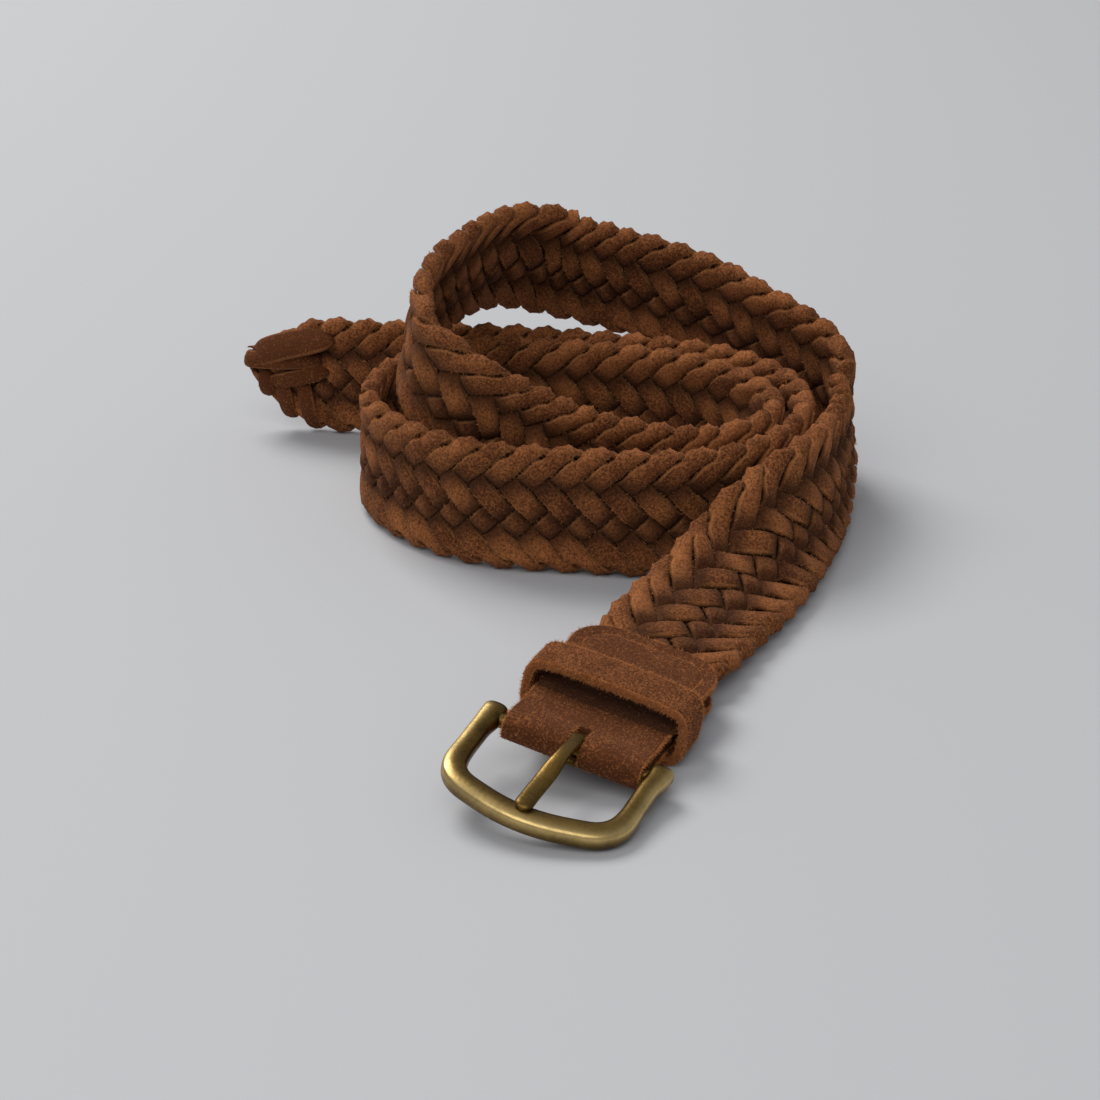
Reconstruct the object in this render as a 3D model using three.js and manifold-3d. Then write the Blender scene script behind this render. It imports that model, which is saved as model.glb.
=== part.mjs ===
// A braided suede belt with a brass buckle, coiled and standing on its edge.
// Millimetres, +Z up. The belt leaves its buckle along +Y, and its resting edge lies on z = 0.
import * as THREE from 'three';
import { mergeVertices } from 'three/addons/utils/BufferGeometryUtils.js';
import Module from 'manifold-3d';

const wasm = await Module();
wasm.setup();

// Woven band
const BRAID_LENGTH = 1000;
const BAND_WIDTH = 37.5;
const BAND_THICKNESS = 6;
const BAND_EDGE = 4;
const LACE_PITCH = 9;
const LACE_RELIEF = 0.8;
const SCALLOP_DEPTH = 1.6;
const STACK_CLEARANCE = 0.5;
const TAIL_TAPER = 27;
const TAIL_TIP_WIDTH = 13;

// Suede tab that holds the buckle, and the braid's thin end sewn inside it
const TAB_WIDTH = 34;
const TAB_END_WIDTH = 37;
const TAB_LEATHER = 1.6;
const TAB_REACH = 50.5;
const TAB_CORNER = 10;
const TONGUE_START = 25;
const TONGUE_WIDTH = 31;
const TONGUE_BLEND = 5;
const SEAT_CLEARANCE = 0.3;

// Keeper loop
const KEEPER_WIDTH = 10.5;
const KEEPER_LEATHER = 2.3;
const KEEPER_ROOM = 2.6;
const KEEPER_SIDE_ROOM = 2.7;
const KEEPER_START = 16.5;
const KEEPER_CORNER = 5.2;

// Buckle
const BAR_RADIUS = 1.8;
const ARM_GAP = 1.5;
const FRAME_SIDE_PLAY = 0.8;
const ARM_WIDTH = 5;
const ARM_HEIGHT = 4.6;
const ARM_PAST_BAR = 4.5;
const FRONT_BAR_WIDTH = 5.6;
const FRONT_BAR_HEIGHT = 5.2;
const FRAME_REACH = 30.5;
const FRAME_CORNER = 7.5;
const FRONT_BOW = 2.5;
const FLOOR_CLEARANCE = 0.2;

// Prong
const PRONG_WIDTH = 4.2;
const PRONG_THICKNESS = 1.9;
const PRONG_STEP = 1.3;
const PRONG_SLOT_PLAY = 0.5;
const SLOT_REACH = 5;
const NOTCH_DEPTH = 0.8;

// The band leans over this much from upright where the buckle lies, in degrees
const STRAP_LEAN = 79.5;

// Where the resting edge runs. x and y are thousandths of BRAID_LENGTH,
// lift is 0 on the floor and 1 on top of the wall beneath, lean is the tilt to the left from
// upright in degrees, rake is how far the upper edge runs ahead in degrees, and held is 1 where
// the tab carries the band.
const ROUTE = [
  { place: 'in the tab', x: -0.3, y: -8.5, lift: 0, lean: STRAP_LEAN, rake: 0, held: 1 },
  { place: 'tab end', x: 0.3, y: 17.5, lift: 0, lean: STRAP_LEAN, rake: 1, held: 1 },
  { place: 'lead', x: 1.5, y: 41, lift: 0, lean: 73, rake: 6, held: 0.3 },
  { place: 'rising', x: 3.5, y: 61.5, lift: 0, lean: 61, rake: 9, held: 0 },
  { place: 'half up', x: 3.5, y: 81, lift: 0, lean: 34, rake: 7, held: 0 },
  { place: 'nearly up', x: 2, y: 98, lift: 0, lean: 17, rake: 5, held: 0 },
  { place: 'upright', x: 0.5, y: 112.5, lift: 0, lean: 10, rake: 4, held: 0 },
  { place: 'outer right, near', x: -2, y: 128, lift: 0, lean: 6, rake: 3, held: 0 },
  { place: 'outer right', x: -5.5, y: 144, lift: 0.05, lean: 4, rake: 1, held: 0 },
  { place: 'outer right, far', x: -9.5, y: 159, lift: 0.15, lean: 9, rake: 0, held: 0 },
  { place: 'far wall start', x: -17, y: 167.5, lift: 0.25, lean: 10, rake: 0, held: 0 },
  { place: 'far wall 1', x: -28, y: 173, lift: 0.33, lean: 9, rake: 0, held: 0 },
  { place: 'far wall 2', x: -40.5, y: 177.5, lift: 0.42, lean: 9, rake: 0, held: 0 },
  { place: 'far wall 3', x: -57, y: 183, lift: 0.53, lean: 10, rake: 0, held: 0 },
  { place: 'far wall 4', x: -78, y: 185, lift: 0.63, lean: 10, rake: 0, held: 0 },
  { place: 'far wall 5', x: -98.5, y: 183.5, lift: 0.72, lean: 12, rake: 0, held: 0 },
  { place: 'far wall end', x: -114.5, y: 176.5, lift: 0.83, lean: 16, rake: 0, held: 0 },
  { place: 'over the tail', x: -123, y: 164.5, lift: 0.95, lean: 20, rake: 0, held: 0 },
  { place: 'crossing', x: -127, y: 149, lift: 1, lean: 20, rake: 0, held: 0 },
  { place: 'upper left, far', x: -127, y: 126, lift: 1, lean: 17, rake: 0, held: 0 },
  { place: 'upper left', x: -125.5, y: 109, lift: 0.98, lean: 14, rake: 0, held: 0 },
  { place: 'upper left, near', x: -121.5, y: 95.5, lift: 0.91, lean: 10, rake: 0, held: 0 },
  { place: 'coming down 1', x: -115, y: 86, lift: 0.8, lean: 4, rake: 0, held: 0 },
  { place: 'coming down 2', x: -105.5, y: 81.5, lift: 0.64, lean: 0, rake: 0, held: 0 },
  { place: 'coming down 3', x: -96, y: 81.5, lift: 0.47, lean: -4, rake: 0, held: 0 },
  { place: 'coming down 4', x: -85, y: 84, lift: 0.31, lean: -5, rake: 0, held: 0 },
  { place: 'coming down 5', x: -71, y: 88, lift: 0.16, lean: -4, rake: 0, held: 0 },
  { place: 'nearly down', x: -54.5, y: 92.5, lift: 0.06, lean: -2, rake: 0, held: 0 },
  { place: 'down', x: -37.5, y: 98, lift: 0, lean: 0, rake: 0, held: 0 },
  { place: 'inner right, near', x: -26, y: 107.5, lift: 0, lean: 0, rake: 0, held: 0 },
  { place: 'inner right', x: -22, y: 119.5, lift: 0, lean: 0, rake: 0, held: 0 },
  { place: 'inner right, far', x: -25, y: 132.5, lift: 0, lean: 0, rake: 0, held: 0 },
  { place: 'inner back 1', x: -35, y: 142.5, lift: 0, lean: 0, rake: 0, held: 0 },
  { place: 'inner back 2', x: -48, y: 149, lift: 0, lean: 0, rake: 0, held: 0 },
  { place: 'inner back 3', x: -67.5, y: 151, lift: 0, lean: 0, rake: 0, held: 0 },
  { place: 'inner back 4', x: -93, y: 147.5, lift: 0, lean: 0, rake: 0, held: 0 },
  { place: 'inner back 5', x: -117, y: 140.5, lift: 0, lean: 0, rake: 0, held: 0 },
  { place: 'lower left, far', x: -132.5, y: 125, lift: 0, lean: 2, rake: 0, held: 0 },
  { place: 'lower left', x: -136, y: 105.5, lift: 0, lean: 3, rake: 0, held: 0 },
  { place: 'lower left, near', x: -129, y: 88, lift: 0, lean: 1, rake: 0, held: 0 },
  { place: 'front wall start', x: -116.5, y: 77, lift: 0, lean: 0, rake: 0, held: 0 },
  { place: 'front wall 1', x: -100.5, y: 69.5, lift: 0, lean: 0, rake: 0, held: 0 },
  { place: 'front wall 2', x: -83.5, y: 67.5, lift: 0, lean: 0, rake: 0, held: 0 },
  { place: 'front wall 3', x: -62.5, y: 72, lift: 0, lean: 0, rake: 0, held: 0 },
  { place: 'front wall 4', x: -38.5, y: 79, lift: 0, lean: 0, rake: 0, held: 0 },
  { place: 'front wall end', x: -22.5, y: 90.5, lift: 0, lean: 0, rake: 0, held: 0 },
  { place: 'middle right, near', x: -15, y: 108, lift: 0, lean: 0, rake: 0, held: 0 },
  { place: 'middle right', x: -14, y: 125, lift: 0, lean: 0, rake: 0, held: 0 },
  { place: 'middle right, far', x: -19.5, y: 141, lift: 0, lean: 0, rake: 0, held: 0 },
  { place: 'middle back 1', x: -31, y: 152.5, lift: 0, lean: 0, rake: 0, held: 0 },
  { place: 'middle back 2', x: -47.5, y: 160, lift: 0, lean: 0, rake: 0, held: 0 },
  { place: 'middle back 3', x: -66, y: 160.5, lift: 0, lean: 0, rake: 0, held: 0 },
  { place: 'middle back 4', x: -89.5, y: 157.5, lift: 0, lean: 0, rake: 0, held: 0 },
  { place: 'middle back 5', x: -112.5, y: 153, lift: 0, lean: 0, rake: 0, held: 0 },
  { place: 'tail 1', x: -135, y: 146.5, lift: 0, lean: 0, rake: 0, held: 0 },
  { place: 'tail 2', x: -160, y: 139.5, lift: 0, lean: 0, rake: 0, held: 0 },
  { place: 'tip', x: -192, y: 134, lift: 0, lean: 0, rake: 0, held: 0 },
];

// Four rows of laces between the two edges of each face. across is the share of the band's
// width up from the resting edge, shift is how far the row line runs along, in lace pitches.
const ROW_LINES = [
  { across: 0, shift: 0 },
  { across: 0.3125, shift: -1 },
  { across: 0.4375, shift: -0.5 },
  { across: 0.6875, shift: -1.25 },
  { across: 1, shift: 0 },
];

const suede = new THREE.MeshStandardMaterial({ color: 0x6e462d, roughness: 0.95, metalness: 0 });
const brass = new THREE.MeshStandardMaterial({ color: 0x8a7440, roughness: 0.38, metalness: 1 });

const radians = THREE.MathUtils.degToRad;
const clamp01 = (value) => THREE.MathUtils.clamp(value, 0, 1);
const smooth = (value) => THREE.MathUtils.smoothstep(value, 0, 1);

// Heights of the buckle end above the floor, from the pieces that lie under the band there
const tilt = radians(90 - STRAP_LEAN);
const foldInner = BAR_RADIUS + SEAT_CLEARANCE;
const foldOuter = foldInner + TAB_LEATHER;
const keeperHalfWidth = TAB_WIDTH / 2 + KEEPER_SIDE_ROOM + KEEPER_LEATHER;
const keeperBottom = foldOuter + SEAT_CLEARANCE + KEEPER_LEATHER;
const endHeight = (keeperHalfWidth - KEEPER_CORNER) * Math.sin(tilt)
  + (keeperBottom - KEEPER_CORNER) * Math.cos(tilt) + KEEPER_CORNER;
const heldHeight = endHeight - (BAND_WIDTH / 2) * Math.sin(tilt);

// The resting edge as a smooth curve, and the posture of the band along it

const edgeUnit = BRAID_LENGTH / 1000;

function edgeHeight(row) {
  const lying = (BAND_THICKNESS / 2) * Math.abs(Math.sin(radians(row.lean)));
  const raised = row.lift * (BAND_WIDTH + STACK_CLEARANCE);
  return raised + THREE.MathUtils.lerp(lying, heldHeight, row.held);
}

const edgeCurve = new THREE.CatmullRomCurve3(
  ROUTE.map((row) => new THREE.Vector3(row.x * edgeUnit, row.y * edgeUnit, edgeHeight(row))),
);
edgeCurve.arcLengthDivisions = 40 * ROUTE.length;
const edgeLength = edgeCurve.getLength();

function postureAt(t) {
  const place = clamp01(t) * (ROUTE.length - 1);
  const index = Math.min(Math.floor(place), ROUTE.length - 2);
  const share = smooth(place - index);
  const mix = (name) => THREE.MathUtils.lerp(ROUTE[index][name], ROUTE[index + 1][name], share);
  return { lean: radians(mix('lean')), rake: radians(mix('rake')), lift: mix('lift') };
}

// Edge point and the directions ahead, across (resting edge to upper edge) and outward
function bandFrame(s) {
  const t = edgeCurve.getUtoTmapping(clamp01(s / edgeLength));
  const { lean, rake, lift } = postureAt(t);
  const ahead = edgeCurve.getTangent(t);
  const left = new THREE.Vector3(-ahead.y, ahead.x, 0).normalize();
  const upright = new THREE.Vector3().crossVectors(ahead, left);
  const square = upright.multiplyScalar(Math.cos(lean)).addScaledVector(left, Math.sin(lean));
  const outward = new THREE.Vector3().crossVectors(ahead, square);
  const across = square.multiplyScalar(Math.cos(rake)).addScaledVector(ahead, Math.sin(rake));
  return { edge: edgeCurve.getPoint(t), ahead, across, outward, lift };
}

// Closed meshes from rings of points, and joins and cuts

function meshFromRings(rings) {
  const sides = rings[0].length;
  const points = rings.flat();
  const index = [];
  for (let ring = 0; ring < rings.length - 1; ring += 1) {
    for (let side = 0; side < sides; side += 1) {
      const next = (side + 1) % sides;
      const a = ring * sides + side;
      const b = ring * sides + next;
      index.push(a, b, b + sides, a, b + sides, a + sides);
    }
  }
  for (let side = 1; side < sides - 1; side += 1) {
    const last = (rings.length - 1) * sides;
    index.push(0, side + 1, side);
    index.push(last, last + side, last + side + 1);
  }
  const geometry = new THREE.BufferGeometry();
  geometry.setAttribute('position', new THREE.Float32BufferAttribute(
    points.flatMap((point) => [point.x, point.y, point.z]), 3));
  geometry.setIndex(index);
  return geometry;
}

function solidOf(geometry) {
  const bare = geometry.clone();
  bare.deleteAttribute('normal');
  bare.deleteAttribute('uv');
  const merged = mergeVertices(bare, 1e-4);
  return new wasm.Manifold(new wasm.Mesh({
    numProp: 3,
    vertProperties: new Float32Array(merged.attributes.position.array),
    triVerts: new Uint32Array(merged.index.array),
  }));
}

function geometryOf(solid) {
  const mesh = solid.getMesh();
  const geometry = new THREE.BufferGeometry();
  geometry.setAttribute('position', new THREE.Float32BufferAttribute(mesh.vertProperties, 3));
  geometry.setIndex(Array.from(mesh.triVerts));
  return geometry;
}

// An outline drawn in y and z, made solid across x and centred on x = 0
function slabAcross(outline, width) {
  const slab = new THREE.ExtrudeGeometry(outline, { depth: width, bevelEnabled: false, curveSegments: 10 });
  slab.applyMatrix4(new THREE.Matrix4().makeBasis(
    new THREE.Vector3(0, 1, 0), new THREE.Vector3(0, 0, 1), new THREE.Vector3(1, 0, 0)));
  return slab.translate(-width / 2, 0, 0);
}

// Woven band: one swept solid whose faces carry the chevron rows and whose edges are scalloped

function bandWidthAt(s) {
  const inTab = BAND_WIDTH + (TONGUE_WIDTH - BAND_WIDTH) * (1 - smooth((s - tabCover) / TONGUE_BLEND));
  const tail = clamp01((edgeLength - s) / TAIL_TAPER);
  const rounded = Math.sqrt(1 - (1 - tail) ** 2);
  return inTab * (TAIL_TIP_WIDTH / BAND_WIDTH + (1 - TAIL_TIP_WIDTH / BAND_WIDTH) * rounded);
}

const tabCover = TAB_REACH - TONGUE_START + SEAT_CLEARANCE;
const tongueHalf = foldInner - SEAT_CLEARANCE;

function bandRing(s, onLace) {
  const inBraid = smooth((s - tabCover) / TONGUE_BLEND);
  const spread = smooth((s - tabCover) / (3 * LACE_PITCH)) * smooth((edgeLength - s) / (4 * LACE_PITCH));
  const face = (line, side) => {
    const along = THREE.MathUtils.clamp(s + side * line.shift * LACE_PITCH * spread, 0, edgeLength);
    const { edge, across, outward, lift } = bandFrame(along);
    const width = bandWidthAt(s);
    const isEdge = line.across === 0 || line.across === 1;
    const pressed = line.across === 0 ? clamp01(lift * BAND_WIDTH / LACE_PITCH) : 1;
    const scallop = isEdge && !onLace ? SCALLOP_DEPTH * inBraid * pressed : 0;
    const fromMiddle = (line.across - 0.5) * (width - 2 * scallop);
    const woven = isEdge ? BAND_EDGE / 2 : BAND_THICKNESS / 2 - (onLace ? 0 : LACE_RELIEF);
    const thickness = THREE.MathUtils.lerp(tongueHalf, woven, inBraid);
    const point = edge.clone().addScaledVector(across, BAND_WIDTH / 2 + fromMiddle)
      .addScaledVector(outward, side * thickness);
    point.z = Math.max(point.z, 0);
    return point;
  };
  const outer = ROW_LINES.map((line) => face(line, 1)).reverse();
  const inner = ROW_LINES.map((line) => face(line, -1));
  return [...outer, ...inner];
}

function braidGeometry() {
  const steps = 2 * Math.round(edgeLength / LACE_PITCH);
  const rings = [];
  for (let step = 0; step <= steps; step += 1) {
    rings.push(bandRing((step / steps) * edgeLength, step % 2 === 0));
  }
  return meshFromRings(rings);
}

// Suede tab: a strip folded round the bar, its far corners rounded, slotted for the prong

function tabGeometry() {
  const outline = new THREE.Shape();
  outline.moveTo(TAB_REACH, foldOuter);
  outline.lineTo(0, foldOuter);
  outline.absarc(0, 0, foldOuter, Math.PI / 2, 1.5 * Math.PI, false);
  outline.lineTo(TAB_REACH, -foldOuter);
  outline.lineTo(TAB_REACH, -foldInner);
  outline.lineTo(0, -foldInner);
  outline.absarc(0, 0, foldInner, 1.5 * Math.PI, Math.PI / 2, true);
  outline.lineTo(TAB_REACH, foldInner);
  const folded = solidOf(slabAcross(outline, Math.max(TAB_WIDTH, TAB_END_WIDTH)));

  const half = TAB_WIDTH / 2;
  const endHalf = TAB_END_WIDTH / 2;
  const plan = new THREE.Shape();
  plan.moveTo(-half, -2 * foldOuter);
  plan.lineTo(half, -2 * foldOuter);
  plan.lineTo(half, KEEPER_START);
  plan.lineTo(endHalf, TAB_REACH - TAB_CORNER);
  plan.absarc(endHalf - TAB_CORNER, TAB_REACH - TAB_CORNER, TAB_CORNER, 0, Math.PI / 2, false);
  plan.absarc(TAB_CORNER - endHalf, TAB_REACH - TAB_CORNER, TAB_CORNER, Math.PI / 2, Math.PI, false);
  plan.lineTo(-half, KEEPER_START);
  const rounded = new THREE.ExtrudeGeometry(plan, { depth: 4 * foldOuter, bevelEnabled: false, curveSegments: 6 });
  rounded.translate(0, 0, -2 * foldOuter);

  const slotWidth = PRONG_WIDTH + 2 * PRONG_SLOT_PLAY;
  const slot = new THREE.BoxGeometry(slotWidth, SLOT_REACH + 2 * foldOuter, 4 * foldOuter);
  slot.translate(-FRAME_SIDE_PLAY, SLOT_REACH / 2 - foldOuter, 0);
  return geometryOf(folded.intersect(solidOf(rounded)).subtract(solidOf(slot)));
}

// Keeper: a flat suede loop round the tab, with room over the tab for the belt's tail

function roundedLoop(halfWidth, bottom, top, corner) {
  const loop = new THREE.Shape();
  loop.moveTo(halfWidth, bottom + corner);
  loop.absarc(halfWidth - corner, top - corner, corner, 0, Math.PI / 2, false);
  loop.absarc(corner - halfWidth, top - corner, corner, Math.PI / 2, Math.PI, false);
  loop.absarc(corner - halfWidth, bottom + corner, corner, Math.PI, 1.5 * Math.PI, false);
  loop.absarc(halfWidth - corner, bottom + corner, corner, 1.5 * Math.PI, 2 * Math.PI, false);
  return loop;
}

function keeperGeometry() {
  const top = foldOuter + KEEPER_ROOM + KEEPER_LEATHER;
  const loop = roundedLoop(keeperHalfWidth, -keeperBottom, top, KEEPER_CORNER);
  loop.holes.push(roundedLoop(keeperHalfWidth - KEEPER_LEATHER, KEEPER_LEATHER - keeperBottom,
    top - KEEPER_LEATHER, KEEPER_CORNER - KEEPER_LEATHER));
  const geometry = new THREE.ExtrudeGeometry(loop, { depth: KEEPER_WIDTH, bevelEnabled: false, curveSegments: 5 });
  return geometry.rotateX(Math.PI / 2).translate(0, KEEPER_START + KEEPER_WIDTH, 0);
}

// Buckle frame: a rod bent to a U with a bowed front and domed arm ends, and the bar across it

const frameHalf = TAB_WIDTH / 2 + ARM_GAP + ARM_WIDTH / 2;
const frontMiddle = FRAME_REACH - FRONT_BAR_WIDTH / 2;
const cornerSide = frameHalf - FRAME_SIDE_PLAY - FRAME_CORNER * (1 - Math.SQRT1_2);
const cornerReach = frontMiddle - FRONT_BOW - FRAME_CORNER * (1 - Math.SQRT1_2);
const cornerDrop = endHeight - cornerSide * Math.sin(tilt) - FRONT_BAR_HEIGHT / 2 - FLOOR_CLEARANCE;
const framePitch = Math.asin(cornerDrop / (cornerReach * Math.cos(tilt)));

function frameStations() {
  const straightHalf = frameHalf - FRAME_CORNER;
  const cornerY = -(frontMiddle - FRONT_BOW - FRAME_CORNER);
  const stations = [];
  const domeSteps = 3;
  for (let step = 0; step < domeSteps; step += 1) {
    const angle = (step / domeSteps) * (Math.PI / 2);
    const y = ARM_PAST_BAR - (ARM_WIDTH / 2) * (1 - Math.cos(Math.PI / 2 - angle));
    stations.push({ x: frameHalf, y, turn: 0, size: Math.max(0.35, Math.sin(angle)), front: 0 });
  }
  stations.push({ x: frameHalf, y: ARM_PAST_BAR - ARM_WIDTH / 2, turn: 0, size: 1, front: 0 });
  stations.push({ x: frameHalf, y: cornerY, turn: 0, size: 1, front: 0 });
  const cornerSteps = 5;
  for (let step = 1; step < cornerSteps; step += 1) {
    const angle = (step / cornerSteps) * (Math.PI / 2);
    stations.push({
      x: straightHalf + FRAME_CORNER * Math.cos(angle),
      y: cornerY - FRAME_CORNER * Math.sin(angle),
      turn: angle,
      size: 1,
      front: step / cornerSteps,
    });
  }
  const frontSteps = 5;
  for (let step = 0; step < frontSteps; step += 1) {
    const x = straightHalf * (1 - step / frontSteps);
    const y = -(frontMiddle - FRONT_BOW * (x / straightHalf) ** 2);
    stations.push({ x, y, turn: Math.PI / 2, size: 1, front: 1 });
  }
  const middle = { x: 0, y: -frontMiddle, turn: Math.PI / 2, size: 1, front: 1 };
  const mirrored = stations.map((one) => ({ ...one, x: -one.x, turn: Math.PI - one.turn })).reverse();
  return [...stations, middle, ...mirrored];
}

function frameGeometry() {
  const sides = 10;
  const rings = frameStations().map((station) => {
    const halfWidth = THREE.MathUtils.lerp(ARM_WIDTH, FRONT_BAR_WIDTH, station.front) / 2;
    const halfHeight = THREE.MathUtils.lerp(ARM_HEIGHT, FRONT_BAR_HEIGHT, station.front) / 2;
    const ring = [];
    for (let side = 0; side < sides; side += 1) {
      const angle = ((side + 0.5) / sides) * 2 * Math.PI;
      const out = halfWidth * station.size * Math.cos(angle);
      const up = halfHeight * station.size * Math.sin(angle);
      ring.push(new THREE.Vector3(
        station.x + out * Math.cos(station.turn), station.y - out * Math.sin(station.turn), up));
    }
    return ring;
  });
  const bar = new THREE.CylinderGeometry(BAR_RADIUS, BAR_RADIUS, 2 * frameHalf, 12);
  bar.rotateZ(Math.PI / 2);
  const rest = new THREE.BoxGeometry(PRONG_WIDTH + 2 * PRONG_SLOT_PLAY, FRONT_BAR_WIDTH, FRONT_BAR_HEIGHT);
  rest.translate(0, -frontMiddle + FRONT_BAR_WIDTH / 3, FRONT_BAR_HEIGHT - NOTCH_DEPTH);
  return geometryOf(solidOf(meshFromRings(rings)).add(solidOf(bar)).subtract(solidOf(rest)));
}

// Prong: a flat strip looped round the bar, with a step down to the tip that rests in the notch

function prongGeometry() {
  const eye = BAR_RADIUS + SEAT_CLEARANCE;
  const outer = eye + PRONG_THICKNESS;
  const tipBottom = FRONT_BAR_HEIGHT / 2 - NOTCH_DEPTH + SEAT_CLEARANCE;
  const tipTop = tipBottom + PRONG_THICKNESS;
  const tipMiddle = tipBottom + PRONG_THICKNESS / 2;
  const high = tipTop + PRONG_STEP;
  const share = (part) => -frontMiddle * part;
  const outline = new THREE.Shape();
  outline.moveTo(0, outer);
  outline.lineTo(share(0.22), high);
  outline.lineTo(share(0.42), high);
  outline.lineTo(share(0.6), tipTop);
  outline.lineTo(share(1), tipTop);
  outline.absarc(share(1), tipMiddle, PRONG_THICKNESS / 2, Math.PI / 2, 1.5 * Math.PI, false);
  outline.lineTo(share(0.57), tipBottom);
  outline.lineTo(share(0.39), high - PRONG_THICKNESS);
  outline.lineTo(share(0.23), high - PRONG_THICKNESS);
  const join = Math.asin((outer - PRONG_THICKNESS) / outer);
  outline.absarc(0, 0, outer, Math.PI - join, 2.5 * Math.PI, false);
  const hole = new THREE.Path();
  hole.absarc(0, 0, eye, 0, 2 * Math.PI, true);
  outline.holes.push(hole);
  return geometryOf(solidOf(slabAcross(outline, PRONG_WIDTH)));
}

// Assembly: the buckle end tilted with the strap, and the braid along its route

function piece(name, geometry, material) {
  const mesh = new THREE.Mesh(geometry, material);
  mesh.name = name;
  return mesh;
}

const buckleEnd = new THREE.Group();
const start = bandFrame(0);
const faceUp = new THREE.Matrix4().makeBasis(start.across.clone().negate(), start.ahead, start.outward);
buckleEnd.quaternion.setFromRotationMatrix(faceUp);
buckleEnd.position.copy(start.edge).addScaledVector(start.across, BAND_WIDTH / 2)
  .addScaledVector(start.ahead, -TONGUE_START);

const buckle = new THREE.Group();
buckle.rotation.x = framePitch;
buckle.position.x = -FRAME_SIDE_PLAY;
buckle.add(piece('buckle_frame', frameGeometry(), brass), piece('prong', prongGeometry(), brass));
buckleEnd.add(piece('tab', tabGeometry(), suede), piece('keeper', keeperGeometry(), suede), buckle);

const belt = new THREE.Group();
belt.add(piece('braid', braidGeometry(), suede), buckleEnd);

const spread = new THREE.Box3().setFromObject(belt, true);
const middle = spread.getCenter(new THREE.Vector3());
belt.position.set(-middle.x, -middle.y, 0);

export default belt;
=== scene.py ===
import math
import bpy
import numpy as np
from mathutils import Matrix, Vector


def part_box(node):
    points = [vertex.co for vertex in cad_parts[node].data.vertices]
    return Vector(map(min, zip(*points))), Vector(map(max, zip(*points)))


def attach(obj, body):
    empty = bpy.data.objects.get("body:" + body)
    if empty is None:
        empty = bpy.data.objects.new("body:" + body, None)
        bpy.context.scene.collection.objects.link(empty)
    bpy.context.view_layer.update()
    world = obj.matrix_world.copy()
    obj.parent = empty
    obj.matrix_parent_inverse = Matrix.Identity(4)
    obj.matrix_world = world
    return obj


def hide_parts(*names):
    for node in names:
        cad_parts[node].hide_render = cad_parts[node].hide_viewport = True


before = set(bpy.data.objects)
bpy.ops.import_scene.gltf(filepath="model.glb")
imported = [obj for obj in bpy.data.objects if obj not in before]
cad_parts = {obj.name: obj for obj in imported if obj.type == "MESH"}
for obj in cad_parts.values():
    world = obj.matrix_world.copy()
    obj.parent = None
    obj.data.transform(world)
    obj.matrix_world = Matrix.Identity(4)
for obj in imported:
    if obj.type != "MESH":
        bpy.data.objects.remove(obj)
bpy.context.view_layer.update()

# The strap's route. The belt lies coiled on one of its edges, and each row is a given place of
# that edge in millimetres: x, y, lift (1 is on top of the wall beneath), lean to the left in
# degrees, rake in degrees, and 1 where the tab carries the strap.
MM = 0.001
BAND_WIDTH = 37.5
BAND_THICKNESS = 6
WALL_GAP = 0.5
TONGUE_START = 25
TAB_REACH = 50.5
TAB_HALF = 17
TAB_LEATHER = 1.6
BAR_RADIUS = 1.8
SEAT_CLEARANCE = 0.3
FOLD_INNER = BAR_RADIUS + SEAT_CLEARANCE
FOLD_OUTER = FOLD_INNER + TAB_LEATHER
KEEPER_LEATHER = 2.3
KEEPER_CORNER = 5.2
KEEPER_SIDE_ROOM = 2.7
KEEPER_HALF = TAB_HALF + KEEPER_SIDE_ROOM + KEEPER_LEATHER
KEEPER_BOTTOM = FOLD_OUTER + SEAT_CLEARANCE + KEEPER_LEATHER
STRAP_LEAN = 79.5
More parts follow.
